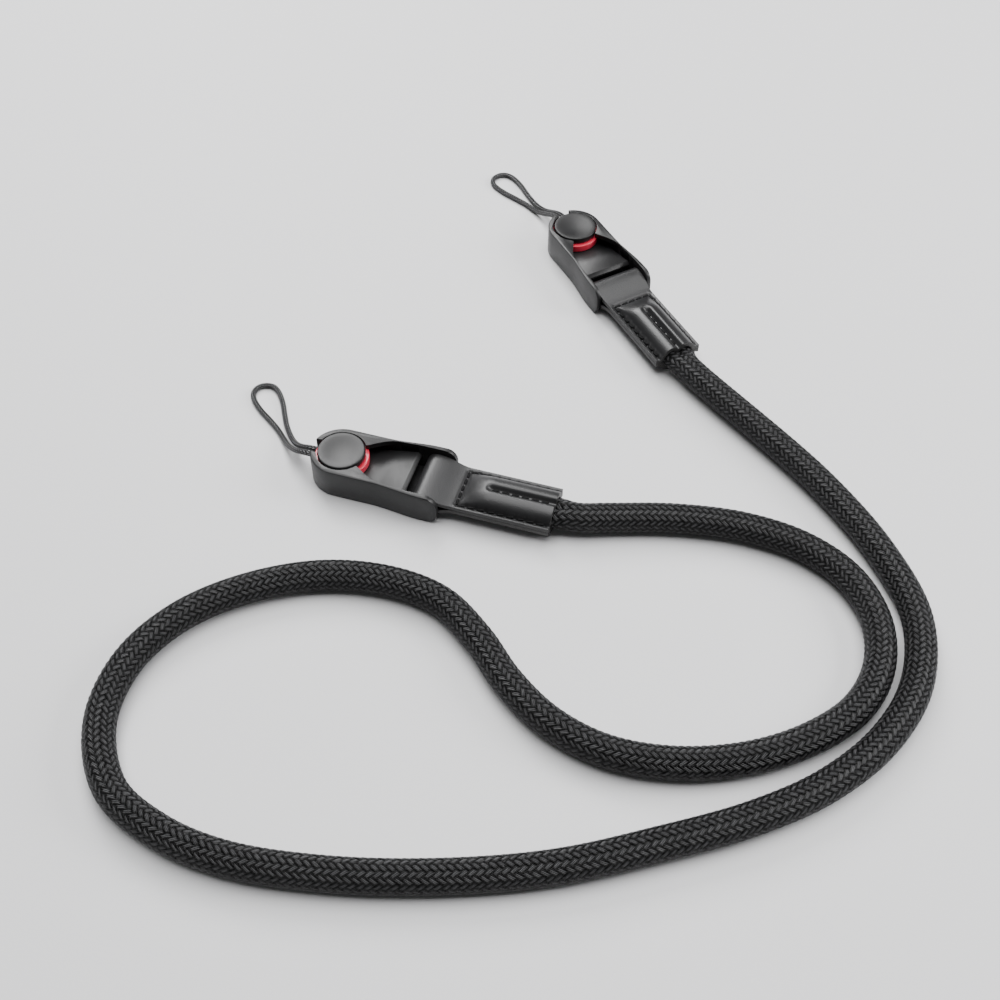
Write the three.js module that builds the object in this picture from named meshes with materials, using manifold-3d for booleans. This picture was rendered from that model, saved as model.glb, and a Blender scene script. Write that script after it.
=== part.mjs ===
// Camera neck strap lying on the plane z = 0: a braided rope that ends, at both sides, in a folded
// leather end on the bar of a quick-release housing, which holds an anchor button on a thin cord loop.
// Millimetres, +Z up. The origin is on the flat back of the left housing, under the button's centre.
import * as THREE from 'three';
import { mergeVertices } from 'three/addons/utils/BufferGeometryUtils.js';
import Module from 'manifold-3d';

const wasm = await Module();
wasm.setup();

// Clearances
const gap = 0.3;
const ringClearance = 0.5;
const tongueSlit = 0.6;
const beyond = 5;

// Rope
const ropeDiameter = 11;
const ropeSides = 12;
const ropeSteps = 80;
const ropeStraightOut = 8;
const ropeTuckedIn = 27;
const neckLength = 8;
const neckInset = 0.9;
const neckOutside = 2;

// Anchor button
const capDiameter = 17.8;
const capHeight = 2.7;
const capDishDepth = 0.6;
const capEdge = 0.5;
const baseDiameter = 20.4;
const baseHeight = 3;
const baseEdge = 0.3;
const roundSegments = 36;

// Cord loop
const cordDiameter = 2.2;
const cordSides = 8;
const cordSteps = 44;

// Housing
const housingHeight = 13;
const housingEdge = 0.6;
const noseWall = 1.2;
const waistWall = 0.8;
const waistStart = 15;
const railWall = 1.7;
const railReach = 7;
const railEndRound = 5;
const ringPlate = 2.2;
const floorPlate = 1.8;
const slotWidth = 6.4;
const seatReach = 6;
const mouthHalfAtRing = 5.2;
const mouthStart = 8;
const mouthEnd = 20;
const tongueRise = 2.5;
const tonguePlate = 2;
const tongueBevel = 1.2;
const tongueRunIn = 0.8;
const tongueBarGap = 2.4;
const floorLedge = 2;
const barOffset = 34;
const barRadius = 2;

// Leather end, lengths from the bar's centre
const leatherWall = 1.8;
const leatherLength = 48;
const leatherWidth = 20;
const loopWidth = 21.8;
const frontStitch = 13;
const stitchBoxWidth = 16.8;
const ridgeHeight = 5.9;
const ridgeMargin = 0.6;
const ridgeRise = 11;
const grooveDepth = 1;
const grooveWidth = 2.8;
const grooveStart = 9;

// Where the two ends lie: the right button's centre seen from the left one's, and each strap's
// heading from its button in degrees
const rightEndX = 90.5;
const rightEndY = 129;
const ends = [
  { side: 'left', x: 0, y: 0, heading: -17 },
  { side: 'right', x: rightEndX, y: rightEndY, heading: -62 },
];

// The rope's route from the left leather end to the right one: x and y of the centreline, and how far
// it is lifted off the plane where it comes down from the leather
const ropeRoute = [
  [97, -26, 0.45], [122, -26, 0.06], [146, -30], [166, -39], [180, -53], [186, -71], [183.5, -90],
  [174, -105], [157, -116.5], [136, -123.5], [112, -125], [91, -120.5], [74, -110], [61, -95],
  [51, -78], [38, -62.5], [20, -54], [-4, -51.5], [-30, -57.5], [-51, -69.5], [-65, -87],
  [-70, -110], [-62.5, -134], [-46, -148], [-25, -157], [5, -162], [40, -163], [75, -160],
  [107, -152.5], [136, -144], [160, -133], [181, -116.5], [195, -96], [200, -70],
  [193, -42, 0.02], [176, -9, 0.15],
];

// The cord loops' routes in the end's own frame: x, y, height of the pair's middle and its half spread.
// The cord runs out on one side of the pair and comes back on the other.
const cordRoutes = {
  left: [
    [-10.6, 0, 9, 1.4], [-13.8, 0.1, 8.8, 1.4], [-17.6, 1.3, 7.2, 1.4], [-21.2, 3.8, 4.8, 1.4],
    [-24.4, 7, 2.6, 1.4], [-27.6, 10.6, 1.4, 1.5], [-31, 14.4, 1.15, 1.9], [-35, 18.9, 1.12, 3.1],
    [-39.5, 23.9, 1.12, 4.6], [-43.9, 28.8, 1.12, 5], [-45.9, 31, 1.12, 4.1], [-47.1, 32.3, 1.12, 2.1],
    [-47.4, 32.7, 1.12, 0],
  ],
  right: [
    [-10.6, 0, 9, 1.4], [-13.8, 0, 8.8, 1.4], [-18, -0.1, 7.2, 1.4], [-22.3, -0.3, 4.8, 1.4],
    [-26.8, -0.7, 2.6, 1.4], [-31.5, -1.3, 1.4, 1.5], [-36.5, -2, 1.15, 1.9], [-42.5, -2.9, 1.12, 3.1],
    [-49, -3.9, 1.12, 4.6], [-55.4, -4.9, 1.12, 5], [-58.3, -5.4, 1.12, 4.1], [-60, -5.7, 1.12, 2.1],
    [-60.4, -5.8, 1.12, 0],
  ],
};

// Sizes that follow from the ones above
const ropeRadius = ropeDiameter / 2;
const capRadius = capDiameter / 2;
const baseRadius = baseDiameter / 2;
const socketRadius = baseRadius + gap;
const noseReach = socketRadius + noseWall;
const waistHalf = socketRadius + waistWall;
const channelHalf = loopWidth / 2 + gap;
const flareHalf = channelHalf + railWall;
const loopRadius = barRadius + gap + leatherWall;
const barHeight = housingHeight / 2;
const plateUnder = housingHeight - ringPlate;
const baseTop = plateUnder - gap;
const baseBottom = baseTop - baseHeight;
const seatTop = baseBottom - gap;
const capBottom = baseTop + gap;
const tongueEnd = barOffset - loopRadius - tongueBarGap;
const floorEnd = tongueEnd + floorLedge;
const railEnd = barOffset + railReach;
const boxHalf = stitchBoxWidth / 2;

const black = { plastic: 0x1b1b1c, leather: 0x18181a, rope: 0x1c1c1e, cord: 0x161617 };
const red = 0xb3121f;

// A smooth step from 0 to 1 as t goes from 0 to 1
function ease(t) {
  const c = Math.min(Math.max(t, 0), 1);
  return c * c * (3 - 2 * c);
}

function mix(a, b, t) {
  return a + (b - a) * t;
}

// Geometry to a solid that can be joined and cut, and back
function toSolid(geometry) {
  const bare = geometry.clone();
  bare.deleteAttribute('normal');
  bare.deleteAttribute('uv');
  const merged = mergeVertices(bare, 1e-4);
  const vertProperties = new Float32Array(merged.attributes.position.array);
  const triVerts = new Uint32Array(merged.index.array);
  return new wasm.Manifold(new wasm.Mesh({ numProp: 3, vertProperties, triVerts }));
}

function toGeometry(solid) {
  const { vertProperties, triVerts } = solid.getMesh();
  const geometry = new THREE.BufferGeometry();
  geometry.setAttribute('position', new THREE.BufferAttribute(vertProperties, 3));
  geometry.setIndex(new THREE.BufferAttribute(triVerts, 1));
  geometry.computeVertexNormals();
  return geometry;
}

// A flat outline in X and Y, pulled up from one height to another
function prism(points, low, high, edge = 0) {
  const shape = new THREE.Shape(points.map(([x, y]) => new THREE.Vector2(x, y)));
  const geometry = new THREE.ExtrudeGeometry(shape, {
    depth: high - low - 2 * edge,
    bevelEnabled: edge > 0,
    bevelThickness: edge,
    bevelSize: edge,
    bevelOffset: -edge,
    bevelSegments: 2,
  });
  return geometry.translate(0, 0, low + edge);
}

// A side outline in X and Z, given its width across Y
function sidePrism(points, halfWidth) {
  const flat = prism(points, -halfWidth, halfWidth);
  return flat.rotateX(Math.PI / 2);
}

function upright(radius, low, high) {
  const geometry = new THREE.CylinderGeometry(radius, radius, high - low, roundSegments);
  return geometry.rotateX(Math.PI / 2).translate(0, 0, (low + high) / 2);
}

function crossways(radius, halfWidth, x, z, segments) {
  return new THREE.CylinderGeometry(radius, radius, 2 * halfWidth, segments).translate(x, 0, z);
}

// Half width of the housing's outside and of its pocket at a distance from the button's centre
function outerHalf(x) {
  return mix(waistHalf, flareHalf, ease((x - waistStart) / (barOffset - waistStart)));
}

function pocketHalf(x) {
  return mix(socketRadius, channelHalf, ease((x - waistStart) / (floorEnd - waistStart)));
}

function mouthHalf(x) {
  const open = Math.min(Math.max((x - mouthStart) / (mouthEnd - mouthStart), 0), 1);
  return mix(mouthHalfAtRing, pocketHalf(mouthEnd), Math.sin(open * Math.PI / 2));
}

// A closed outline that is the same on both sides of the X axis
function mirrored(half) {
  const back = half.map(([x, y]) => [x, -y]).reverse();
  return half.concat(back).reverse();
}

function strip(from, to, rows, halfAt) {
  const half = [];
  for (let i = 0; i <= rows; i += 1) {
    const x = mix(from, to, i / rows);
    half.push([x, halfAt(x)]);
  }
  return half;
}

// From above: a half round nose, straight sides beside the button and flaring rails
function housingOutline() {
  const half = [];
  const noseRows = 15;
  for (let i = 1; i <= noseRows; i += 1) {
    const turn = Math.PI / 2 * (i - 0.5) / (noseRows - 0.5);
    half.push([-noseReach * Math.cos(turn), waistHalf * Math.sin(turn)]);
  }
  return mirrored(half.concat(strip(waistStart, railEnd, 10, outerHalf)));
}

// Seen from the side the rails end in two round corners
function housingSide() {
  const side = [[-noseReach - beyond, housingHeight], [-noseReach - beyond, 0]];
  const cornerRows = 5;
  for (const [z, from] of [[railEndRound, -90], [housingHeight - railEndRound, 0]]) {
    for (let i = 0; i <= cornerRows; i += 1) {
      const turn = THREE.MathUtils.degToRad(from + 90 * i / cornerRows);
      side.push([railEnd - railEndRound * (1 - Math.cos(turn)), z + railEndRound * Math.sin(turn)]);
    }
  }
  return side;
}

// The spring tongue: a plate that rises from under the button to its bevelled free edge
function tongue() {
  const runIn = baseRadius + tongueRunIn;
  const tipTop = seatTop + tongueRise;
  const side = [
    [seatReach - 1, seatTop],
    [seatReach - 1, seatTop - tonguePlate],
    [runIn, seatTop - tonguePlate],
    [tongueEnd, tipTop - tonguePlate],
    [tongueEnd, tipTop - tongueBevel],
    [tongueEnd - tongueBevel, tipTop],
    [runIn, seatTop],
  ];
  const plan = strip(seatReach - 2, tongueEnd + beyond, 8, (x) => pocketHalf(x) - tongueSlit);
  return toSolid(sidePrism(side, flareHalf)).intersect(toSolid(prism(mirrored(plan), 0, housingHeight)));
}

function housing() {
  const top = housingHeight + beyond;
  const body = toSolid(prism(housingOutline(), 0, housingHeight, housingEdge))
    .intersect(toSolid(sidePrism(housingSide(), flareHalf + beyond)));
  const pocket = prism(mirrored(strip(seatReach, railEnd + beyond, 14, pocketHalf)), floorPlate, plateUnder);
  const overPocket = prism(mirrored(strip(mouthEnd, railEnd + beyond, 8, pocketHalf)), floorPlate, top);
  const fork = prism(mirrored(strip(floorEnd, railEnd + beyond, 1, pocketHalf)), -beyond, top);
  const mouth = prism(mirrored(strip(mouthStart - 3, mouthEnd + 0.5, 12, mouthHalf)), seatTop, top);
  const slide = prism(mirrored(strip(0, seatReach + 1, 1, () => socketRadius)), seatTop, plateUnder);
  const slot = prism(mirrored(strip(-noseReach - beyond, 0, 1, () => slotWidth / 2)), seatTop, top);
  return body
    .subtract(toSolid(pocket))
    .subtract(toSolid(overPocket))
    .subtract(toSolid(fork))
    .subtract(toSolid(mouth))
    .subtract(toSolid(slide))
    .subtract(toSolid(slot))
    .subtract(toSolid(upright(socketRadius, seatTop, plateUnder)))
    .subtract(toSolid(upright(capRadius + ringClearance, seatTop + 1, top)))
    .add(toSolid(crossways(barRadius, channelHalf + railWall / 2, barOffset, barHeight, 20)))
    .add(tongue());
}

// A turned disc: its profile runs from the axis at the bottom round to the axis at the top
function disc(radius, low, high, edge, dish) {
  const profile = [
    [0, low], [radius - edge, low], [radius, low + edge], [radius, high - edge], [radius - edge, high],
  ];
  const dishRows = dish > 0 ? 2 : 0;
  for (let i = 0; i <= dishRows; i += 1) {
    const out = 1 - i / (dishRows + 1);
    profile.push([(radius - 2 * edge) * out, high - dish * (1 - out * out)]);
  }
  profile.push([0, high - dish]);
  const points = profile.map(([r, z]) => new THREE.Vector2(r, z));
  return new THREE.LatheGeometry(points, roundSegments).rotateX(Math.PI / 2);
}

// Half width and half height of the folded leather at a distance from the bar and from the middle line
function leatherHalf(s) {
  return mix(loopWidth, leatherWidth, ease((s - loopRadius) / (frontStitch - loopRadius))) / 2;
}

function leatherRise(s, y) {
  if (s <= 0) {
    return Math.sqrt(Math.max(loopRadius ** 2 - s ** 2, 0));
  }
  const folded = mix(loopRadius, leatherWall, ease(s / frontStitch));
  const across = Math.max(1 - Math.abs(y / boxHalf) ** 3, 0);
  const rise = Math.min(Math.max((s - frontStitch - ridgeMargin) / ridgeRise, 0), 1);
  const swell = (ridgeHeight - leatherWall) * Math.sin(rise * Math.PI / 2);
  const groove = grooveDepth * ease((s - frontStitch - grooveStart) / ridgeRise)
    * Math.exp(-((2 * y / grooveWidth) ** 2));
  return folded + Math.max(swell * across - groove, 0);
}

// A closed body lofted along X through sections that are as high above the middle plane as below it
function loft(stations, halfAt, riseAt) {
  const across = [-1, -0.84, -0.72, -0.5, -0.3, -0.13, 0];
  const shares = across.concat(across.slice(0, -1).map((share) => -share).reverse());
  const ringSize = 2 * shares.length;
  const positions = [];
  const index = [];
  for (const s of stations) {
    const top = shares.map((share) => [s, share * halfAt(s), riseAt(s, share * halfAt(s))]);
    const under = top.map(([x, y, z]) => [x, y, -z]).reverse();
    positions.push(...top.concat(under).flat());
  }
  for (let i = 0; i + 1 < stations.length; i += 1) {
    for (let j = 0; j < ringSize; j += 1) {
      const a = i * ringSize + j;
      const b = i * ringSize + (j + 1) % ringSize;
      index.push(a, a + ringSize, b, b, a + ringSize, b + ringSize);
    }
  }
  const lastRing = (stations.length - 1) * ringSize;
  for (let j = 0; j + 1 < shares.length; j += 1) {
    const under = ringSize - 1 - j;
    index.push(j, j + 1, under, under, j + 1, under - 1);
    index.push(lastRing + j, lastRing + under, lastRing + j + 1);
    index.push(lastRing + under, lastRing + under - 1, lastRing + j + 1);
  }
  const geometry = new THREE.BufferGeometry();
  geometry.setAttribute('position', new THREE.Float32BufferAttribute(positions, 3));
  geometry.setIndex(index);
  return geometry;
}

function evenly(from, to, rows) {
  return Array.from({ length: rows + 1 }, (unused, i) => mix(from, to, i / rows));
}

// One strap folded round the bar, its two layers sewn over the rope's flattened end
function leatherEnd() {
  const front = [0.99, 0.9, 0.72, 0.48, 0.24].map((share) => -share * loopRadius);
  const outerStations = front.concat(
    evenly(0, frontStitch, 5),
    evenly(frontStitch + ridgeMargin, frontStitch + ridgeMargin + ridgeRise, 5),
    evenly(frontStitch + grooveStart + 2, leatherLength, 4),
  );
  const foldStations = evenly(0, frontStitch - 2.5, 4);
  const tunnelStations = evenly(frontStitch + 4, leatherLength + 1, 6);
  const inside = (s, y) => Math.max(leatherRise(s, y) - leatherWall, 0.02);
  const outer = loft(outerStations, leatherHalf, leatherRise);
  const fold = loft(foldStations, () => loopWidth, (s) => inside(s, boxHalf));
  const tunnel = loft(tunnelStations, () => boxHalf - gap, inside);
  return toSolid(outer)
    .subtract(toSolid(crossways(barRadius + gap, loopWidth, 0, 0, 24)))
    .subtract(toSolid(fold))
    .subtract(toSolid(tunnel));
}

// The rope's end pressed flat between the two layers; near the mouth it narrows into the round rope
function pressedEnd() {
  const neckStart = leatherLength - neckLength;
  const stations = evenly(leatherLength - ropeTuckedIn, neckStart, 3).concat(
    [leatherLength - neckLength / 2, leatherLength, leatherLength + neckOutside],
  );
  const neck = (s) => ease((s - neckStart) / neckLength);
  const halfAt = (s) => mix(boxHalf, ropeRadius, neck(s)) - neckInset;
  const riseAt = (s, y) => {
    const inner = leatherRise(Math.min(s, leatherLength), y) - leatherWall - gap;
    const round = Math.sqrt(Math.max((ropeRadius - neckInset) ** 2 - y ** 2, gap ** 2));
    return Math.min(Math.max(inner, gap), mix(ropeRadius, round, neck(s)));
  };
  return loft(stations, halfAt, riseAt);
}

function endFrame({ x, y, heading }) {
  const turn = new THREE.Matrix4().makeRotationZ(THREE.MathUtils.degToRad(heading));
  return turn.setPosition(x, y, 0);
}

function tube(points, diameter, sides, steps) {
  const section = new THREE.Shape();
  section.absarc(0, 0, diameter / 2, 0, 2 * Math.PI);
  return new THREE.ExtrudeGeometry(section, {
    steps,
    curveSegments: sides / 2,
    extrudePath: new THREE.CatmullRomCurve3(points, false, 'centripetal'),
  });
}

// The rope: straight out of the leather at both ends, along its route on the plane in between
function rope() {
  const mouth = barOffset + leatherLength + gap;
  const outOf = (end, along) => new THREE.Vector3(along, 0, barHeight).applyMatrix4(endFrame(end));
  const [left, right] = ends;
  const points = [
    outOf(left, mouth),
    outOf(left, mouth + ropeStraightOut),
    ...ropeRoute.map(([x, y, lift = 0]) => new THREE.Vector3(x, y, ropeRadius + lift)),
    outOf(right, mouth + ropeStraightOut),
    outOf(right, mouth),
  ];
  let solid = toSolid(tube(points, ropeDiameter, ropeSides, ropeSteps));
  for (const end of ends) {
    const pressed = pressedEnd().translate(barOffset, 0, barHeight).applyMatrix4(endFrame(end));
    solid = solid.add(toSolid(pressed));
  }
  return toGeometry(solid);
}

// A cord loop in the end's own frame: out along one side of the pair, round the tip and back
function cordLoop(route) {
  const out = [];
  const back = [];
  route.forEach(([x, y, height, spread], i) => {
    const [x0, y0] = route[Math.max(i - 1, 0)];
    const [x1, y1] = route[Math.min(i + 1, route.length - 1)];
    const length = Math.hypot(x1 - x0, y1 - y0);
    const side = [-(y1 - y0) / length * spread, (x1 - x0) / length * spread];
    out.push(new THREE.Vector3(x + side[0], y + side[1], height));
    if (spread > 0) {
      back.unshift(new THREE.Vector3(x - side[0], y - side[1], height));
    }
  });
  return tube(out.concat(back), cordDiameter, cordSides, cordSteps);
}

function mesh(name, geometry, color, roughness, metalness = 0) {
  const piece = new THREE.Mesh(geometry, new THREE.MeshStandardMaterial({ color, roughness, metalness }));
  piece.name = name;
  return piece;
}

const strap = new THREE.Group();
strap.name = 'camera_neck_strap';

for (const end of ends) {
  const group = new THREE.Group();
  group.applyMatrix4(endFrame(end));
  const leather = mesh(`${end.side}_leather_end`, toGeometry(leatherEnd()), black.leather, 0.55);
  leather.position.set(barOffset, 0, barHeight);
  group.add(leather);
  group.add(mesh(`${end.side}_housing`, toGeometry(housing()), black.plastic, 0.45));
  const cap = disc(capRadius, capBottom, capBottom + capHeight, capEdge, capDishDepth);
  group.add(mesh(`${end.side}_anchor_cap`, cap, black.plastic, 0.4));
  group.add(mesh(`${end.side}_anchor_base`, disc(baseRadius, baseBottom, baseTop, baseEdge, 0), red, 0.4));
  group.add(mesh(`${end.side}_cord_loop`, cordLoop(cordRoutes[end.side]), black.cord, 0.85));
  strap.add(group);
}
strap.add(mesh('rope', rope(), black.rope, 0.9));

export default strap;
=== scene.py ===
# Looks of the camera neck strap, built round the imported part. Metres, +Z up, the part's own frame.
import math

import bmesh
import bpy
import numpy as np
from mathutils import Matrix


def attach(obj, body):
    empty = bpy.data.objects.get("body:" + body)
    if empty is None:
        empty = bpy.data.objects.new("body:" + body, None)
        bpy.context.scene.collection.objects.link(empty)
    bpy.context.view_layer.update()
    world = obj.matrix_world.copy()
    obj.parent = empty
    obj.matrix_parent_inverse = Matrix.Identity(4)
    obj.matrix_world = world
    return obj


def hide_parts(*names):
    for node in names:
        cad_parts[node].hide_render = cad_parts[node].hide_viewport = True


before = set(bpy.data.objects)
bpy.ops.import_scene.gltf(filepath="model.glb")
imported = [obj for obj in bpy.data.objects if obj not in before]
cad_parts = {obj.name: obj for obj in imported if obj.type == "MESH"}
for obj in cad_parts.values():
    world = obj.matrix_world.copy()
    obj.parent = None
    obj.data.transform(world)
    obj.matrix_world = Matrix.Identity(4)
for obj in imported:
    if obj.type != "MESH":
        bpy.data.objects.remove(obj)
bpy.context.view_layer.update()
scene = bpy.context.scene
mm = 0.001

# Where the ends lie: the button's centre in x and y, and the strap's heading in degrees
ends = {
    "left": {"place": (0.0, 0.0), "heading": -17.0},
    "right": {"place": (90.5, 129.0), "heading": -62.0},
}
sizes = {
    "ropeRadius": 5.5,
    "cordRadius": 1.1,
    "barOffset": 34.0,
    "barHeight": 6.5,
    "leatherWall": 1.8,
    "leatherLength": 48.0,
    "leatherWidth": 20.0,
    "loopWidth": 21.8,
    "frontStitch": 13.0,
    "boxHalf": 8.4,
    "gap": 0.3,
}

# Small helpers


# Smooth step: three t squared less two t cubed, with t held between 0 and 1
def ease(t):
    t = np.clip(t, 0, 1)
    return t * t * (3 - 2 * t)


# Straight blend: a, plus the difference between b and a times t
def mix(a, b, t):
    return a + (b - a) * t


# A point of an end's own frame: turned about Z by the end's heading, then moved to its place
def toWorld(points, side):
    end = ends[side]
    turn = math.radians(end["heading"])
    c, s = math.cos(turn), math.sin(turn)
    x, y, z = points[..., 0], points[..., 1], points[..., 2]
    px, py = end["place"]
    return np.stack([x * c - y * s + px, x * s + y * c + py, z], -1)


# Centripetal Catmull-Rom: every span is a cubic whose end slopes weigh the chords beside it by the
# square roots of their lengths; past each end the line goes on as a mirror of its first span
def splineThrough(points, perSpan):
    p = np.vstack([2 * points[0] - points[1], points, 2 * points[-1] - points[-2]])
    root = np.sqrt(np.linalg.norm(np.diff(p, axis=0), axis=1))[:, None]
    r0, r1, r2 = root[:-2], root[1:-1], root[2:]
    a, b, c, d = p[:-3], p[1:-2], p[2:-1], p[3:]
    slopeB = ((b - a) / r0 - (c - a) / (r0 + r1) + (c - b) / r1) * r1
    slopeC = ((c - b) / r1 - (d - b) / (r1 + r2) + (d - c) / r2) * r1
    t = np.arange(perSpan)[None, :, None] / perSpan
    b, c, slopeB, slopeC = b[:, None], c[:, None], slopeB[:, None], slopeC[:, None]
    square = 3 * (c - b) - 2 * slopeB - slopeC
    cube = 2 * (b - c) + slopeB + slopeC
    spans = b + slopeB * t + square * t**2 + cube * t**3
    return np.vstack([spans.reshape(-1, 3), points[-1]])


# The same line again with a number of points an equal distance apart, and its length
def evenlySpaced(line, count):
    along = np.concatenate([[0], np.cumsum(np.linalg.norm(np.diff(line, axis=0), axis=1))])
    at = np.linspace(0, along[-1], count)
    return np.stack([np.interp(at, along, line[:, k]) for k in range(3)], 1), along[-1]


# Unit vectors along a line, to its left in the plane, and square to both
def ringAxes(line):
    ahead = np.gradient(line, axis=0)
    ahead /= np.linalg.norm(ahead, axis=1)[:, None]
    left = np.cross([0.0, 0.0, 1.0], ahead)
    left /= np.linalg.norm(left, axis=1)[:, None]
    return ahead, left, np.cross(ahead, left)


# Points that lie on each other become one; flat faces may be joined up to an angle in degrees
def tidyMesh(mesh, within=0.0005, flatWithin=0.0):
    work = bmesh.new()
    work.from_mesh(mesh)
    bmesh.ops.remove_doubles(work, verts=work.verts, dist=within * mm)
    if flatWithin:
        bmesh.ops.dissolve_limit(
            work, angle_limit=math.radians(flatWithin), verts=work.verts, edges=work.edges
        )
    work.to_mesh(mesh)
    work.free()


# A mesh object from points in millimetres; weave holds a U and V for every corner of every face
def makePiece(name, points, faces, weave=None):
    mesh = bpy.data.meshes.new(name)
    mesh.from_pydata((points * mm).tolist(), [], faces.tolist())
    if weave is not None:
        layer = mesh.uv_layers.new(name="weave")
        layer.data.foreach_set("uv", weave.astype(np.float32).ravel())
    tidyMesh(mesh)
    mesh.shade_smooth()
    piece = bpy.data.objects.new(name, mesh)
    scene.collection.objects.link(piece)
    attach(piece, "root")
    return piece


# Quads between the neighbouring points of a grid; wrap closes it across its columns
def gridFaces(rows, cols, wrap):
    down, across = np.meshgrid(
        np.arange(rows - 1), np.arange(cols if wrap else cols - 1), indexing="ij"
    )
    down, across = down.ravel(), across.ravel()
    beside = (across + 1) % cols
    quads = np.stack(
        [down * cols + across, down * cols + beside, (down + 1) * cols + beside,
         (down + 1) * cols + across], 1
    )
    corners = np.stack([[across, across + 1, across + 1, across], [down, down, down + 1, down + 1]])
    return quads, corners.transpose(2, 1, 0)


# Height from 0 to 1 of a two-over-two braid. Strand lines run both ways: a is around plus along and
# b is around less along. Where the whole parts add up to 0 or 1 of each 4, the first set lies on top.
# A strand's height is the square root of its round section times its hump: the section is one less
# the squared offset from its middle line, and the hump one less the cubed offset from its float's middle.
def braidHeight(around, along):
    a, b = around + along, around - along
    wholeA, wholeB = np.floor(a), np.floor(b)
    firstOnTop = np.mod(wholeA + wholeB, 4) < 2
    section = np.where(firstOnTop, a - wholeA, b - wholeB)
    floatShare = np.where(firstOnTop, np.mod(wholeA + b, 4) / 2, (np.mod(a + wholeB, 4) - 2) / 2)
    roundness = 1 - (2 * section - 1) ** 2
    hump = 1 - np.abs(2 * floatShare - 1) ** 3
    return np.sqrt(np.clip(roundness, 0, 1) * np.clip(hump, 0, 1))


# A braided tube round a line. A surface point is the line's point plus the cosine of the turn times
# the half width to the left and its sine times the half height upwards, less the braid's valleys.
# shape(points along, left, up) may press the tube flat; the ends are closed onto the line.
def braidedTube(name, line, length, radius, braid, shape=None):
    rows, cols = len(line), braid["sides"]
    ahead, left, up = ringAxes(line)
    turn = 2 * math.pi * np.arange(cols) / cols
    around = braid["strands"] * np.arange(cols) / cols
    along = length / braid["pitch"] * np.arange(rows) / (rows - 1)
    height = braidHeight(around[None, :], along[:, None])
    reach = radius - braid["depth"] * (1 - height)
    toLeft, toUp = reach * np.cos(turn), reach * np.sin(turn)
    if shape is not None:
        toLeft, toUp = shape(toLeft, toUp)
    closing = np.ones(rows)
    closing[[0, -1]] = 0
    toLeft, toUp = toLeft * closing[:, None], toUp * closing[:, None]
    line = line.copy()
    line[0], line[-1] = line[1], line[-2]
    points = line[:, None] + toLeft[..., None] * left[:, None] + toUp[..., None] * up[:, None]
    quads, corners = gridFaces(rows, cols, True)
    weave = corners * [braid["strands"] / cols, length / braid["pitch"] / (rows - 1)]
    return makePiece(name, points.reshape(-1, 3), quads[:, ::-1], weave[:, ::-1])


# Camera, at the photograph's angle

camera = {"place": (0.0584, -0.3422, 0.3927), "tilt": 40.0, "lens": 50.0, "sensor": 36.0}


# The camera looks along its tilt, straight ahead in y
def makeCamera():
    data = bpy.data.cameras.new("camera")
    data.lens = camera["lens"]
    data.sensor_width = camera["sensor"]
    data.clip_start, data.clip_end = 0.01, 20
    eye = bpy.data.objects.new("camera", data)
    eye.location = camera["place"]
    eye.rotation_euler = (math.radians(camera["tilt"]), 0, 0)
    scene.collection.objects.link(eye)
    scene.camera = eye


makeCamera()
print("stage camera done")

# Rope and cord loops

ropeBraid = {
    "strands": 16,
    "sides": 64,
    "rows": 1460,
    "pitch": 2.5,
    "depth": 0.62,
    "tuckedIn": 27.0,
    "straightOut": 8.0,
    "swellLength": 7.0,
    "sideMargin": 1.2,
    "wallGap": 0.15,
    "leastHeight": 0.3,
    "perSpan": 60,
}
ropeRoute = np.array([
    [97, -26, 0.45], [122, -26, 0.06], [146, -30, 0], [166, -39, 0], [180, -53, 0], [186, -71, 0],
    [183.5, -90, 0], [174, -105, 0], [157, -116.5, 0], [136, -123.5, 0], [112, -125, 0],
    [91, -120.5, 0], [74, -110, 0], [61, -95, 0], [51, -78, 0], [38, -62.5, 0], [20, -54, 0],
    [-4, -51.5, 0], [-30, -57.5, 0], [-51, -69.5, 0], [-65, -87, 0], [-70, -110, 0],
    [-62.5, -134, 0], [-46, -148, 0], [-25, -157, 0], [5, -162, 0], [40, -163, 0], [75, -160, 0],
    [107, -152.5, 0], [136, -144, 0], [160, -133, 0], [181, -116.5, 0], [195, -96, 0],
    [200, -70, 0], [193, -42, 0.02], [176, -9, 0.15],
])

# The folded leather's outer form: its loop round the bar, and its ridge over the rope
loopRadius = 4.1
ridge = {
    "height": 5.9,
    "margin": 0.6,
    "rise": 11.0,
    "squareness": 3.0,
    "grooveDepth": 1.9,
    "grooveWidth": 2.5,
    "grooveFrom": 21.5,
    "grooveRise": 3.0,
}


# Half height of the folded leather at a distance s from the bar and y from its middle line: it comes
# down from the loop to one wall, then swells over the rope as a quarter of a sine, less a groove
# whose section is a bell curve
def leatherRise(s, y):
    folded = mix(loopRadius, sizes["leatherWall"], ease(s / sizes["frontStitch"]))
    across = np.clip(1 - np.abs(y / sizes["boxHalf"]) ** ridge["squareness"], 0, None)
    rise = np.clip((s - sizes["frontStitch"] - ridge["margin"]) / ridge["rise"], 0, 1)
    swell = (ridge["height"] - sizes["leatherWall"]) * np.sin(rise * math.pi / 2)
    groove = ridge["grooveDepth"] * ease((s - ridge["grooveFrom"]) / ridge["grooveRise"])
    bell = np.exp(-((2 * y / ridge["grooveWidth"]) ** 2))
    return folded + np.clip(swell * across - groove * bell, 0, None)


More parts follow.
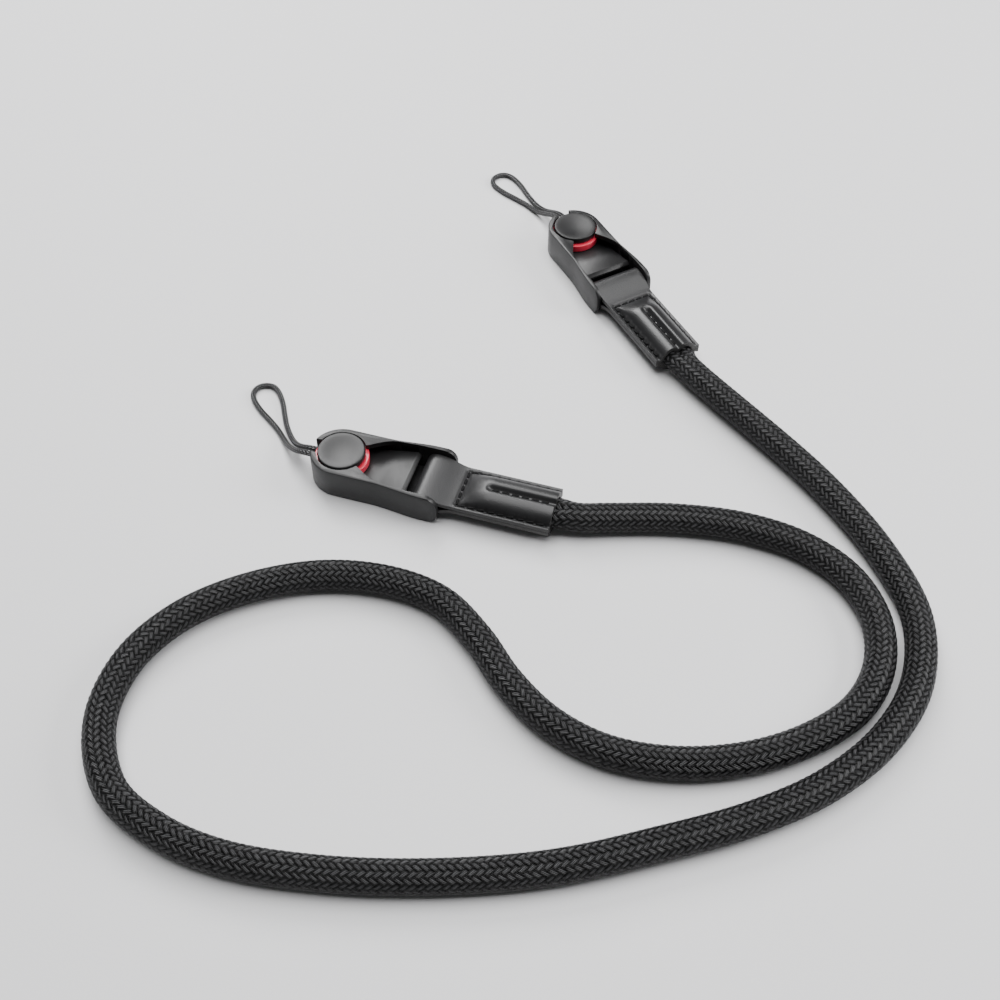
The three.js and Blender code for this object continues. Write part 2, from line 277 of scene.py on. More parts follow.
# The rope from inside the left leather end, along its route on the surface, into the right one
def makeRope():
    radius = sizes["ropeRadius"]
    mouth = sizes["barOffset"] + sizes["leatherLength"] + sizes["gap"]
    stops = [mouth - ropeBraid["tuckedIn"], mouth, mouth + ropeBraid["straightOut"]]
    ownFrame = np.array([[x, 0, sizes["barHeight"]] for x in stops])
    laid = ropeRoute + [0, 0, radius]
    points = np.vstack([toWorld(ownFrame, "left"), laid, toWorld(ownFrame, "right")[::-1]])
    line, length = evenlySpaced(splineThrough(points, ropeBraid["perSpan"]), ropeBraid["rows"])
    step = length / (len(line) - 1)
    fromEnd = np.minimum(np.arange(len(line)), len(line) - 1 - np.arange(len(line))) * step
    past = (fromEnd - ropeBraid["tuckedIn"])[:, None]
    flat = 1 - ease(past / ropeBraid["swellLength"])

    # Inside the leather the section is pressed between its walls; outside it swells back to round
    def pressed(toLeft, toUp):
        s = sizes["leatherLength"] + sizes["gap"] + np.minimum(past, 0)
        wide = toLeft * mix(1, (sizes["boxHalf"] - ropeBraid["sideMargin"]) / radius, flat)
        room = leatherRise(s, wide) - sizes["leatherWall"] - ropeBraid["wallGap"]
        return wide, toUp * mix(1, np.clip(room, ropeBraid["leastHeight"], None) / radius, flat)

    rope = braidedTube("rope_braid", line, length, radius, ropeBraid, pressed)
    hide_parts("rope")
    return rope


cordBraid = {"strands": 8, "sides": 24, "rows": 430, "pitch": 1.35, "depth": 0.22, "perSpan": 40}
# Rows of x, y, height of the pair's middle, and its half spread, in the end's own frame
cordRoutes = {
    "left": np.array([
        [-9.9, 0, 9, 1.4], [-10.6, 0, 9, 1.4], [-13.8, 0.1, 8.8, 1.4], [-17.6, 1.3, 7.2, 1.4],
        [-21.2, 3.8, 4.8, 1.4], [-24.4, 7, 2.6, 1.4], [-27.6, 10.6, 1.4, 1.5], [-31, 14.4, 1.15, 1.9],
        [-35, 18.9, 1.12, 3.1], [-39.5, 23.9, 1.12, 4.6], [-43.9, 28.8, 1.12, 5],
        [-45.9, 31, 1.12, 4.1], [-47.1, 32.3, 1.12, 2.1], [-47.4, 32.7, 1.12, 0],
    ]),
    "right": np.array([
        [-9.9, 0, 9, 1.4], [-10.6, 0, 9, 1.4], [-13.8, 0, 8.8, 1.4], [-18, -0.1, 7.2, 1.4],
        [-22.3, -0.3, 4.8, 1.4], [-26.8, -0.7, 2.6, 1.4], [-31.5, -1.3, 1.4, 1.5],
        [-36.5, -2, 1.15, 1.9], [-42.5, -2.9, 1.12, 3.1], [-49, -3.9, 1.12, 4.6],
        [-55.4, -4.9, 1.12, 5], [-58.3, -5.4, 1.12, 4.1], [-60, -5.7, 1.12, 2.1],
        [-60.4, -5.8, 1.12, 0],
    ]),
}


# The cord runs out beside the pair's middle line, round the tip and back on its other side
def makeCordLoop(side):
    route = cordRoutes[side]
    chord = np.vstack([route[1:, :2], route[-1:, :2]]) - np.vstack([route[:1, :2], route[:-1, :2]])
    chord /= np.linalg.norm(chord, axis=1)[:, None]
    aside = np.stack([-chord[:, 1], chord[:, 0]], 1) * route[:, 3:]
    out = np.column_stack([route[:, :2] + aside, route[:, 2]])
    back = np.column_stack([route[:, :2] - aside, route[:, 2]])[:-1][::-1]
    line = toWorld(splineThrough(np.vstack([out, back]), cordBraid["perSpan"]), side)
    line, length = evenlySpaced(line, cordBraid["rows"])
    name = side + "_cord_braid"
    cordPiece = braidedTube(name, line, length, sizes["cordRadius"], cordBraid)
    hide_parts(side + "_cord_loop")
    return cordPiece


rope = makeRope()
cordLoops = [makeCordLoop(side) for side in ends]
print("stage cords done")

# Leather ends

leather = {
    "alongRows": 150,
    "frontRows": 22,
    "acrossCols": 73,
    "edgeCrowding": 0.92,
    "thickness": 1.72,
    "rowAside": 8.2,
    "creaseDepth": 0.55,
    "creaseWidth": 0.8,
    "creaseStart": 0.4,
    "creaseFade": 0.6,
    "holeDepth": 0.4,
    "holeSharpness": 10,
    "edgeRound": 0.3,
}
stitches = {
    "pitch": 3.7,
    "length": 2.85,
    "width": 1.15,
    "height": 0.8,
    "sunk": 0.08,
    "slant": 5.0,
    "fullness": 0.6,
    "rings": 9,
    "sides": 10,
    "grooveFrom": 25.5,
    "frontCount": 5,
    "frontPitch": 3.33,
    "slopeStep": 0.5,
}


# Outer height of the leather less the creases that its seams pull in: each crease is a bell curve
# across its seam, faded where the seam ends, and a high power of a cosine deepens it at the holes
def leatherTop(s, y):
    past = s - sizes["frontStitch"]
    aside = np.abs(y) - leather["rowAside"]
    start, deep = leather["creaseStart"], leather["creaseDepth"]
    sideRow = np.exp(-((aside / leather["creaseWidth"]) ** 2)) * ease((past + start) / (2 * start))
    frontRow = np.exp(-((past / leather["creaseWidth"]) ** 2)) * (1 - ease(aside / leather["creaseFade"]))
    wave = np.abs(np.cos(math.pi * past / stitches["pitch"])) ** leather["holeSharpness"]
    return leatherRise(s, y) - np.maximum((deep + leather["holeDepth"] * wave) * sideRow, deep * frontRow)


# Half width: the loop's width down to the strap's width by the front seam
def leatherHalf(s):
    shrink = ease((s - loopRadius) / (sizes["frontStitch"] - loopRadius))
    return mix(sizes["loopWidth"], sizes["leatherWidth"], shrink) / 2


# One strap as a sheet: along the top from the mouth, round the bar, and back along the underside
def makeLeatherEnd(side):
    share = np.sin(np.linspace(-1, 1, leather["acrossCols"]) * math.pi / 2 * leather["edgeCrowding"])
    share /= share[-1]
    s = np.linspace(sizes["leatherLength"], 0, leather["alongRows"])
    y = share[None, :] * leatherHalf(s)[:, None]
    top = np.stack([np.broadcast_to(s[:, None], y.shape), y, leatherTop(s[:, None], y)], -1)
    turn = np.linspace(0, math.pi, leather["frontRows"] + 2)[1:-1, None]
    yFront = np.broadcast_to(share * sizes["loopWidth"] / 2, (len(turn), len(share)))
    front = np.stack(
        [np.broadcast_to(-loopRadius * np.sin(turn), yFront.shape), yFront,
         np.broadcast_to(loopRadius * np.cos(turn), yFront.shape)], -1
    )
    grid = np.concatenate([top, front, top[::-1] * [1, 1, -1]])
    grid = grid + [sizes["barOffset"], 0, sizes["barHeight"]]
    quads = gridFaces(len(grid), len(share), False)[0]
    piece = makePiece(side + "_leather", toWorld(grid, side).reshape(-1, 3), quads)
    wall = piece.modifiers.new("wall", "SOLIDIFY")
    wall.thickness = leather["thickness"] * mm
    wall.offset = -1
    wall.material_offset_rim = 1
    edge = piece.modifiers.new("edge", "BEVEL")
    edge.width = leather["edgeRound"] * mm
    edge.segments = 2
    edge.limit_method = "ANGLE"
    edge.angle_limit = math.radians(60)
    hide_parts(side + "_leather_end")
    return piece


# Rows of stitches: each one is a full-bodied ellipsoid laid along its seam, turned a little and tipped
# with the leather's slope, which is the change of height over a short step either way
def makeStitches(side):
    pitch, front, rowAside = stitches["pitch"], sizes["frontStitch"], leather["rowAside"]
    last = sizes["leatherLength"] - stitches["length"] / 2
    along = np.arange(front + pitch / 2, last, pitch)
    across = (np.arange(stitches["frontCount"]) - (stitches["frontCount"] - 1) / 2) * stitches["frontPitch"]
    middle = np.arange(stitches["grooveFrom"], last, pitch)
    places = np.vstack([
        np.column_stack([along, np.full(len(along), rowAside), np.zeros(len(along))]),
        np.column_stack([along, np.full(len(along), -rowAside), np.zeros(len(along))]),
        np.column_stack([middle, np.zeros(len(middle)), np.zeros(len(middle))]),
        np.column_stack([np.full(len(across), front), across, np.full(len(across), 90.0)]),
    ])
    s, y = places[:, 0], places[:, 1]
    turn = np.radians(places[:, 2] + stitches["slant"])
    alongUnit = np.stack([np.cos(turn), np.sin(turn)], 1)
    stepS, stepY = stitches["slopeStep"] * alongUnit[:, 0], stitches["slopeStep"] * alongUnit[:, 1]
    rise = leatherTop(s + stepS, y + stepY) - leatherTop(s - stepS, y - stepY)
    ahead = np.column_stack([alongUnit, rise / (2 * stitches["slopeStep"])])
    ahead /= np.linalg.norm(ahead, axis=1)[:, None]
    aside = np.column_stack([-alongUnit[:, 1], alongUnit[:, 0], np.zeros(len(turn))])
    outward = np.cross(ahead, aside)
    centre = np.column_stack([s, y, leatherTop(s, y) + stitches["sunk"]])
    polar = np.linspace(0, math.pi, stitches["rings"])
    girth = 2 * math.pi * np.arange(stitches["sides"]) / stitches["sides"]
    full = np.sin(polar)[:, None] ** stitches["fullness"]
    x = np.cos(polar)[:, None] * np.ones_like(girth) * stitches["length"] / 2
    w = full * np.cos(girth) * stitches["width"] / 2
    h = full * np.sin(girth) * stitches["height"] / 2
    x, w, h = [part.reshape(1, -1, 1) for part in (x, w, h)]
    bead = centre[:, None] + x * ahead[:, None] + w * aside[:, None] + h * outward[:, None]
    both = np.concatenate([bead, bead[:, ::-1] * [1, 1, -1]])
    both += [sizes["barOffset"], 0, sizes["barHeight"]]
    quads = gridFaces(stitches["rings"], stitches["sides"], True)[0][:, ::-1]
    perBead = stitches["rings"] * stitches["sides"]
    faces = (quads[None] + perBead * np.arange(len(both))[:, None, None]).reshape(-1, 4)
    return makePiece(side + "_stitches", toWorld(both, side).reshape(-1, 3), faces)


leatherEnds = [makeLeatherEnd(side) for side in ends]
stitchRows = [makeStitches(side) for side in ends]
print("stage leather done")

# Housings and anchor buttons

mould = {"edgeRound": 0.22, "mergeWithin": 0.004, "flatWithin": 0.8, "smoothWithin": 32.0}


# The housing's own solid with its flat faces joined and its edges rounded a little
def makeHousing(side):
    node = side + "_housing"
    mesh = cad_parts[node].data.copy()
    tidyMesh(mesh, mould["mergeWithin"], mould["flatWithin"])
    mesh.materials.clear()
    mesh.shade_smooth()
    piece = bpy.data.objects.new(side + "_housing_shell", mesh)
    scene.collection.objects.link(piece)
    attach(piece, "root")
    edge = piece.modifiers.new("edge", "BEVEL")
    edge.width = mould["edgeRound"] * mm
    edge.segments = 2
    edge.limit_method = "ANGLE"
    edge.angle_limit = math.radians(mould["smoothWithin"])
    edge.harden_normals = True
    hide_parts(node)
    return piece


button = {
    "capRadius": 8.9,
    "capLow": 10.8,
    "capHigh": 13.5,
    "capRound": 0.55,
    "dishDepth": 0.6,
    "dishRadius": 7.6,
    "dishPower": 1.5,
    "baseRadius": 10.2,
    "baseLow": 7.5,
    "baseHigh": 10.5,
    "baseRound": 0.35,
    "sides": 128,
    "cornerSteps": 7,
    "dishSteps": 26,
}


# A turned disc: a rounded rim whose corners are quarter circles, and a dish that deepens as one less
# the squared share of the way from its middle to its edge, to the dish's power
def turnedDisc(name, side, radius, low, high, corner, dish=0.0):
    quarter = np.linspace(0, math.pi / 2, button["cornerSteps"])
    c, s, flat = np.cos(quarter), np.sin(quarter), radius - corner
    under = np.column_stack([flat + corner * s, low + corner * (1 - c)])
    over = np.column_stack([flat + corner * c, high - corner * (1 - s)])
    inner = np.linspace(flat, 0, button["dishSteps"])[1:]
    hollow = dish * np.clip(1 - (inner / button["dishRadius"]) ** 2, 0, 1) ** button["dishPower"]
    profile = np.vstack([[0, low], under, over, np.column_stack([inner, high - hollow])])
    turn = 2 * math.pi * np.arange(button["sides"]) / button["sides"]
    r, z = profile[:, :1], profile[:, 1:]
    points = np.stack([r * np.cos(turn), r * np.sin(turn), z + 0 * turn], -1)
    quads = gridFaces(len(profile), button["sides"], True)[0]
    return makePiece(name, toWorld(points, side).reshape(-1, 3), quads)


# The anchor button: a dished black cap over a wider red base
def makeButton(side):
    cap = turnedDisc(
        side + "_button_cap", side, button["capRadius"], button["capLow"], button["capHigh"],
        button["capRound"], button["dishDepth"],
    )
    base = turnedDisc(
        side + "_button_base", side, button["baseRadius"], button["baseLow"], button["baseHigh"],
        button["baseRound"],
    )
    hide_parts(side + "_anchor_cap")
    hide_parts(side + "_anchor_base")
    return cap, base


housings = [makeHousing(side) for side in ends]
buttons = [makeButton(side) for side in ends]
print("stage housings done")

# Materials


# A node of a kind in a tree: sockets in wired take a link, and the others take a value
def addNode(tree, kind, wired=None, **settings):
    node = tree.nodes.new(kind)
    for key, value in settings.items():
        setattr(node, key, value)
    for key, value in (wired or {}).items():
        if isinstance(value, bpy.types.NodeSocket):
            tree.links.new(value, node.inputs[key])
        else:
            node.inputs[key].default_value = value
    return node


# The output of one Math node
def calc(tree, operation, *values):
    return addNode(tree, "ShaderNodeMath", dict(enumerate(values)), operation=operation).outputs[0]


yarnSlant = 0.8  # turns of the yarn's ribs along one float
strandGap = 37.0  # keeps the numbers of the two sets of strands apart


# The two-over-two braid of braidHeight as nodes. Dome is the square of that height. Rib is half of one
# less the cosine of the yarn's turns across a strand. Strand is a number that tells strands apart.
def braidGroup():
    tree = bpy.data.node_groups.new("braid", "ShaderNodeTree")
    tree.interface.new_socket("Weave", in_out="INPUT", socket_type="NodeSocketVector")
    tree.interface.new_socket("Ribs", in_out="INPUT", socket_type="NodeSocketFloat")
    for name in ("Dome", "Rib", "Strand"):
        tree.interface.new_socket(name, in_out="OUTPUT", socket_type="NodeSocketFloat")
    start, end = tree.nodes.new("NodeGroupInput"), tree.nodes.new("NodeGroupOutput")
    split = addNode(tree, "ShaderNodeSeparateXYZ", {0: start.outputs["Weave"]})
    around, along = split.outputs[0], split.outputs[1]
    a, b = calc(tree, "ADD", around, along), calc(tree, "SUBTRACT", around, along)
    wholeA, wholeB = calc(tree, "FLOOR", a), calc(tree, "FLOOR", b)
    partA, partB = calc(tree, "SUBTRACT", a, wholeA), calc(tree, "SUBTRACT", b, wholeB)
    cell = calc(tree, "FLOORED_MODULO", calc(tree, "ADD", wholeA, wholeB), 4.0)
    second = calc(tree, "GREATER_THAN", cell, 1.5)
    first = calc(tree, "SUBTRACT", 1.0, second)
    floatA = calc(tree, "FLOORED_MODULO", calc(tree, "ADD", wholeA, b), 4.0)
    floatA = calc(tree, "MULTIPLY", floatA, 0.5)
    floatB = calc(tree, "FLOORED_MODULO", calc(tree, "ADD", a, wholeB), 4.0)
    floatB = calc(tree, "MULTIPLY", calc(tree, "SUBTRACT", floatB, 2.0), 0.5)

    def either(one, other):
        kept = calc(tree, "MULTIPLY", one, first)
        return calc(tree, "ADD", kept, calc(tree, "MULTIPLY", other, second))

    section, share = either(partA, partB), either(floatA, floatB)
    offA = calc(tree, "ABSOLUTE", calc(tree, "MULTIPLY_ADD", section, 2.0, -1.0))
    offB = calc(tree, "ABSOLUTE", calc(tree, "MULTIPLY_ADD", share, 2.0, -1.0))
    roundness = calc(tree, "SUBTRACT", 1.0, calc(tree, "POWER", offA, 2.0))
    hump = calc(tree, "SUBTRACT", 1.0, calc(tree, "POWER", offB, 3.0))
    dome = calc(tree, "MAXIMUM", calc(tree, "MULTIPLY", roundness, hump), 0.0)
    lay = calc(tree, "MULTIPLY", section, start.outputs["Ribs"])
    lay = calc(tree, "MULTIPLY_ADD", share, yarnSlant, lay)
    wave = calc(tree, "COSINE", calc(tree, "MULTIPLY", lay, 2 * math.pi))
    rib = calc(tree, "MULTIPLY_ADD", wave, -0.5, 0.5)
    tree.links.new(dome, end.inputs["Dome"])
    tree.links.new(rib, end.inputs["Rib"])
    tree.links.new(either(wholeA, calc(tree, "ADD", wholeB, strandGap)), end.inputs["Strand"])
    return tree


# Fine grain as a height from 0 to 1: a quarter of the coarse noise and three quarters of the fine one
def grainGroup():
    tree = bpy.data.node_groups.new("grain", "ShaderNodeTree")
    for name in ("Coarse", "Fine"):
        tree.interface.new_socket(name, in_out="INPUT", socket_type="NodeSocketFloat")
    tree.interface.new_socket("Height", in_out="OUTPUT", socket_type="NodeSocketFloat")
    tree.interface.new_socket("Patch", in_out="OUTPUT", socket_type="NodeSocketFloat")
    start, end = tree.nodes.new("NodeGroupInput"), tree.nodes.new("NodeGroupOutput")
    place = tree.nodes.new("ShaderNodeTexCoord").outputs["Object"]
    wide = {"Vector": place, "Scale": start.outputs["Coarse"], "Detail": 3.0}
    small = {"Vector": place, "Scale": start.outputs["Fine"], "Detail": 2.0}
    coarse = addNode(tree, "ShaderNodeTexNoise", wide).outputs[0]
    fine = addNode(tree, "ShaderNodeTexNoise", small).outputs[0]
    height = calc(tree, "MULTIPLY_ADD", fine, 0.75, calc(tree, "MULTIPLY", coarse, 0.25))
    tree.links.new(height, end.inputs["Height"])
    tree.links.new(coarse, end.inputs["Patch"])
    return tree


braid, grain = braidGroup(), grainGroup()


# A new material with its tree and its shader, on which a plain colour and roughness are set
def startMaterial(name, color, roughness):
    material = bpy.data.materials.new(name)
    material.use_nodes = True
    tree = material.node_tree
    shader = tree.nodes["Principled BSDF"]
    shader.inputs["Base Color"].default_value = (*color, 1)
    shader.inputs["Roughness"].default_value = roughness
    return material, tree, shader


# A value from one range to another, straight and held at its ends
def remap(tree, value, low, high, toLow, toHigh):
    wired = {0: value, 1: low, 2: high, 3: toLow, 4: toHigh}
    return addNode(tree, "ShaderNodeMapRange", wired).outputs[0]


# A colour between the dark and the light one
def blendColors(tree, factor, dark, light):
    wired = {0: factor, 6: (*dark, 1), 7: (*light, 1)}
    return addNode(tree, "ShaderNodeMix", wired, data_type="RGBA").outputs[2]


# A bump as deep as the distance in millimetres
def bumpFrom(tree, shader, height, distance):
    bump = addNode(tree, "ShaderNodeBump", {"Height": height, "Distance": distance * mm})
    tree.links.new(bump.outputs[0], shader.inputs["Normal"])


# The grain group at a look's two scales
def grainOf(tree, look):
    wired = {"Coarse": look["coarse"], "Fine": look["fine"]}
    return addNode(tree, "ShaderNodeGroup", wired, node_tree=grain)


# A colour that drifts from the dark to the light one with the grain's coarse noise
def driftingColor(tree, shader, grains, look):
    color = blendColors(tree, grains.outputs["Patch"], look["dark"], look["light"])
    tree.links.new(color, shader.inputs["Base Color"])


# A roughness that drifts over its range with the same noise
def driftingRoughness(tree, grains, look):
    return remap(tree, grains.outputs["Patch"], 0.3, 0.7, *look["rough"])


# The yarns' dark colour is painted shade for the braid's valleys and their light colour a painted highlight
# for its crowns, blended over the given range of the braid's dome
wovenLooks = {
    "rope": {
        "dark": (0.001, 0.001, 0.0011),
        "light": (0.072, 0.072, 0.0755),
        "rough": (0.3, 0.44),
        "specular": 0.23,
        "paintedLight": (0.3, 0.95),
        "depth": 0.9,
        "ribs": 3.0,
        "ribDepth": 0.25,
    },
    "cord": {
        "dark": (0.001, 0.001, 0.0011),
        "light": (0.3, 0.3, 0.31),
        "rough": (0.26, 0.4),
        "specular": 0.45,
        "paintedLight": (0.5, 1.0),
        "depth": 0.6,
        "ribs": 2.0,
        "ribDepth": 0.06,
    },
    "both": {
        "strandTint": (0.7, 1.0),
        # Painted shade between the yarn's ribs
        "ribPaintedShade": (0.35, 1.0),
        "fuzz": 0.18,
        "coarse": 60.0,
        "fine": 5000.0,
    },
}


# Braided yarn: colour goes from painted shade in the valleys to a painted highlight on the crowns, with
# painted shade between the yarn's ribs, strand by strand a little different in tone, and the bump is the
# braid's dome with the yarn's ribs and a little fuzz on it
def wovenMaterial(name, look):
    yarn = wovenLooks["both"]
    material, tree, shader = startMaterial(name, look["light"], look["rough"][0])
    weave = addNode(tree, "ShaderNodeUVMap", uv_map="weave").outputs[0]
    group = addNode(tree, "ShaderNodeGroup", node_tree=braid)
    tree.links.new(weave, group.inputs["Weave"])
    group.inputs["Ribs"].default_value = look["ribs"]
    grains = grainOf(tree, yarn)
    strand = {1: group.outputs["Strand"]}
    odd = addNode(tree, "ShaderNodeTexWhiteNoise", strand, noise_dimensions="1D").outputs[0]
    # Painted shade in the braid's valleys and painted highlight on its crowns, rising with the dome's
    # height
    paintedLight = remap(tree, group.outputs["Dome"], *look["paintedLight"], 0.0, 1.0)
    paintedShadeAndTone = calc(tree, "MULTIPLY", paintedLight, remap(tree, odd, 0.0, 1.0, *yarn["strandTint"]))
    # Painted shade in the grooves between the yarn's ribs
    ribPaintedShade = remap(tree, group.outputs["Rib"], 0.0, 1.0, *yarn["ribPaintedShade"])
    paintedShadeAndTone = calc(tree, "MULTIPLY", paintedShadeAndTone, ribPaintedShade)
    color = blendColors(tree, paintedShadeAndTone, look["dark"], look["light"])
    tree.links.new(color, shader.inputs["Base Color"])
    tree.links.new(driftingRoughness(tree, grains, look), shader.inputs["Roughness"])
    shader.inputs["Specular IOR Level"].default_value = look["specular"]
    ribs = calc(tree, "MULTIPLY", group.outputs["Rib"], look["ribDepth"] / look["depth"])
    fuzz = calc(tree, "MULTIPLY", grains.outputs["Height"], yarn["fuzz"])
    height = calc(tree, "ADD", calc(tree, "ADD", group.outputs["Dome"], ribs), fuzz)
    bumpFrom(tree, shader, height, look["depth"])
    return material


leatherLooks = {
    "face": {
        "dark": (0.008, 0.008, 0.0085),
        "light": (0.018, 0.018, 0.019),
        "rough": (0.28, 0.42),
        "poreDepth": 0.026,
    },
    "edge": {
        "dark": (0.01, 0.01, 0.011),
        "light": (0.04, 0.039, 0.038),
        "rough": (0.45, 0.6),
        "poreDepth": 0.09,
    },
    "both": {"specular": 0.46, "coarse": 45.0, "fine": 1900.0, "cells": 1300.0, "cellShare": 0.5},
}


# Smooth leather: pores from a fine noise and pebbles whose height rises from the edges of small cells
def leatherMaterial(name, look):
    hide = leatherLooks["both"]
    material, tree, shader = startMaterial(name, look["dark"], look["rough"][0])
    shader.inputs["Specular IOR Level"].default_value = hide["specular"]
    grains = grainOf(tree, hide)
    place = tree.nodes.new("ShaderNodeTexCoord").outputs["Object"]
    wired = {"Vector": place, "Scale": hide["cells"]}
    cells = addNode(tree, "ShaderNodeTexVoronoi", wired, feature="DISTANCE_TO_EDGE").outputs[0]
    pebble = remap(tree, cells, 0.0, 0.25, 0.0, 1.0)
    driftingColor(tree, shader, grains, look)
    tree.links.new(driftingRoughness(tree, grains, look), shader.inputs["Roughness"])
    height = calc(tree, "MULTIPLY_ADD", pebble, hide["cellShare"], grains.outputs["Height"])
    bumpFrom(tree, shader, height, look["poreDepth"])
    return material


# The thread's colours sit below the leather's, partly as painted shade of the seam creases
threadLook = {
    "dark": (0.0012, 0.0012, 0.0013),
    "light": (0.007, 0.007, 0.0075),
    "rough": 0.62,
    "specular": 0.12,
    "twists": 700.0,
    "wander": 1.5,
    "depth": 0.06,
}


# Sewing thread, darker than the leather partly as black thread and partly as painted shade of the seam
# creases it lies in:
# a wave in its colour and bump stands for the twist, the colour's wave being painted shade in the twist's
# grooves
def threadMaterial():
    look = threadLook
    material, tree, shader = startMaterial("stitch_thread", look["light"], look["rough"])
    place = tree.nodes.new("ShaderNodeTexCoord").outputs["Object"]
    wired = {"Vector": place, "Scale": look["twists"], "Distortion": look["wander"]}
    twist = addNode(tree, "ShaderNodeTexWave", wired).outputs[1]
    color = blendColors(tree, twist, look["dark"], look["light"])
    tree.links.new(color, shader.inputs["Base Color"])
    shader.inputs["Specular IOR Level"].default_value = look["specular"]
    bumpFrom(tree, shader, twist, look["depth"])
    return material


plasticLooks = {
    "housing": {
        "dark": (0.008, 0.008, 0.0085),
        "light": (0.014, 0.014, 0.0145),
        "rough": (0.36, 0.46),
        "specular": 0.38,
        "grainDepth": 0.012,
    },
    "cap": {
        "dark": (0.009, 0.009, 0.0095),
        "light": (0.015, 0.015, 0.0155),
        "rough": (0.32, 0.42),
        "specular": 0.27,
        "grainDepth": 0.008,
    },
    "red": {
        "dark": (0.6, 0.025, 0.055),
        "light": (0.7, 0.035, 0.075),
        "rough": (0.26, 0.36),
        "specular": 0.34,
        "grainDepth": 0.004,
        "coat": 0.4,
        "glow": 0.25,
        "glowReach": (0.002, 0.0005, 0.0005),
    },
    "all": {
        "coarse": 70.0,
        "fine": 4200.0,
        "scratchTurn": (0.3, 0.2, 0.6),
        "scratchScale": (900, 60, 900),
        "scratchFrom": 0.62,
        "scratchTo": 0.72,
        "scratchShine": -0.06,
        "scratchDepth": -0.3,
    },
}


# Moulded plastic: a fine grain, a roughness that drifts, and faint rubbed scratches, which are the
# tops of a noise stretched along one direction
def plasticMaterial(name, look):
    common = plasticLooks["all"]
    material, tree, shader = startMaterial(name, look["dark"], look["rough"][0])
    shader.inputs["Specular IOR Level"].default_value = look["specular"]
    grains = grainOf(tree, common)
    place = tree.nodes.new("ShaderNodeTexCoord").outputs["Object"]
    wired = {0: place, "Rotation": common["scratchTurn"], "Scale": common["scratchScale"]}
    stretched = addNode(tree, "ShaderNodeMapping", wired).outputs[0]
    wired = {"Vector": stretched, "Scale": 1.0, "Detail": 1.0}
    scratch = addNode(tree, "ShaderNodeTexNoise", wired).outputs[0]
    rubbed = remap(tree, scratch, common["scratchFrom"], common["scratchTo"], 0.0, 1.0)
    driftingColor(tree, shader, grains, look)
    drift = driftingRoughness(tree, grains, look)
    rough = calc(tree, "MULTIPLY_ADD", rubbed, common["scratchShine"], drift)
    tree.links.new(rough, shader.inputs["Roughness"])
    height = calc(tree, "MULTIPLY_ADD", rubbed, common["scratchDepth"], grains.outputs["Height"])
    bumpFrom(tree, shader, height, look["grainDepth"])
    return material, shader


# The base's red plastic, clear-coated and letting a little light through its edges
def redMaterial():
    look = plasticLooks["red"]
    material, shader = plasticMaterial("red_plastic", look)
    shader.inputs["Coat Weight"].default_value = look["coat"]
    shader.inputs["Subsurface Weight"].default_value = look["glow"]
    shader.inputs["Subsurface Radius"].default_value = look["glowReach"]
    shader.inputs["Subsurface Scale"].default_value = 1.0
    return material


# Puts the materials in a piece's slots, in their order
def paint(piece, *materials):
    piece.data.materials.clear()
    for material in materials:
        piece.data.materials.append(material)


blackPlastic = plasticMaterial("satin_black_plastic", plasticLooks["housing"])[0]
capPlastic = plasticMaterial("cap_black_plastic", plasticLooks["cap"])[0]
redPlastic = redMaterial()
cordYarn = wovenMaterial("cord_yarn", wovenLooks["cord"])
leatherFace = leatherMaterial("leather_face", leatherLooks["face"])
leatherEdge = leatherMaterial("leather_edge", leatherLooks["edge"])
thread = threadMaterial()
paint(rope, wovenMaterial("rope_yarn", wovenLooks["rope"]))
for piece in cordLoops:
    paint(piece, cordYarn)
for piece in leatherEnds:
    paint(piece, leatherFace, leatherEdge)
for piece in stitchRows:
    paint(piece, thread)
for piece in housings:
    paint(piece, blackPlastic)
for cap, base in buttons:
    paint(cap, capPlastic)
    paint(base, redPlastic)
print("stage materials done")

# Pale floor and soft light

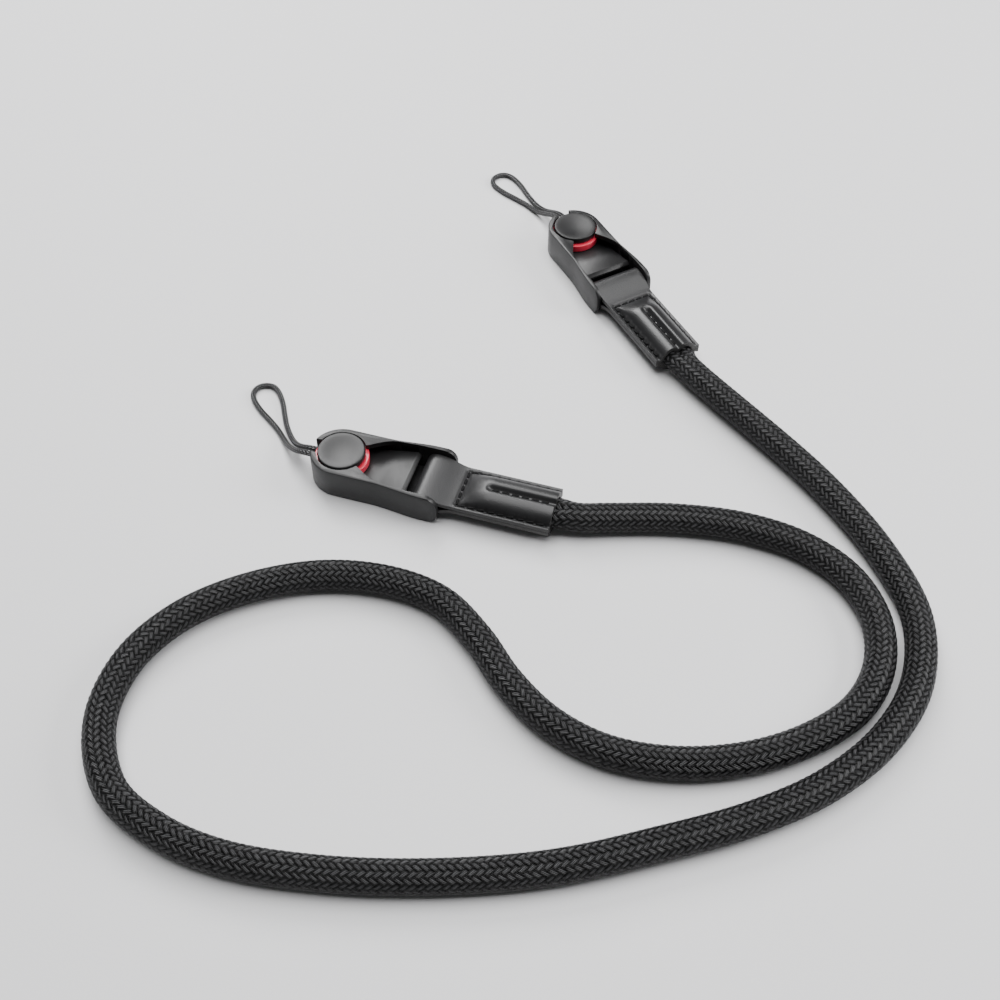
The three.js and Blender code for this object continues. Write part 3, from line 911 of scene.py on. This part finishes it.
studio = {
    "floorHalf": 6.0,
    "floorColor": (0.68, 0.68, 0.69),
    "floorRough": 0.6,
    "floorGrain": {"coarse": 4.0, "fine": 900.0},
    "floorDepth": 0.03,
    "backdrop": 0.12,
    "lamps": [
        {"place": (-0.24, 0.95, 0.86), "aim": (0.08, 0.0, 0.0), "size": 0.6, "power": 17.0},
        {"place": (0.0, 0.35, 2.3), "aim": (0.0, 0.2, 0.0), "size": 2.2, "power": 85.0},
        {"place": (0.95, 0.05, 0.5), "aim": (0.08, 0.0, 0.0), "size": 0.5, "power": 10.0},
    ],
}


# One square of paper on z = 0
def makeFloor():
    half = studio["floorHalf"]
    corners = [(-half, -half, 0), (half, -half, 0), (half, half, 0), (-half, half, 0)]
    mesh = bpy.data.meshes.new("floor")
    mesh.from_pydata(corners, [], [(0, 1, 2, 3)])
    floor = bpy.data.objects.new("floor", mesh)
    scene.collection.objects.link(floor)
    material, tree, shader = startMaterial("floor_paper", studio["floorColor"], studio["floorRough"])
    grains = grainOf(tree, studio["floorGrain"])
    bumpFrom(tree, shader, grains.outputs["Height"], studio["floorDepth"])
    floor.data.materials.append(material)


# A square lamp that faces its aim: the rotation that takes its own -Z to the line towards the aim
def makeLamp(index, lamp):
    data = bpy.data.lights.new("lamp_%d" % index, "AREA")
    data.size = lamp["size"]
    data.energy = lamp["power"]
    light = bpy.data.objects.new("lamp_%d" % index, data)
    light.location = lamp["place"]
    toAim = np.subtract(lamp["aim"], lamp["place"])
    away = math.hypot(toAim[0], toAim[1])
    heading = math.atan2(toAim[1], toAim[0]) - math.pi / 2
    light.rotation_euler = (math.atan2(away, -toAim[2]), 0, heading)
    scene.collection.objects.link(light)


# An even white light from all round, as strong as the backdrop's value
def makeBackdrop():
    world = bpy.data.worlds.new("studio")
    scene.world = world
    world.use_nodes = True
    background = world.node_tree.nodes["Background"]
    background.inputs["Color"].default_value = (1, 1, 1, 1)
    background.inputs["Strength"].default_value = studio["backdrop"]


makeFloor()
for index, lamp in enumerate(studio["lamps"]):
    makeLamp(index, lamp)
makeBackdrop()
print("stage studio done")
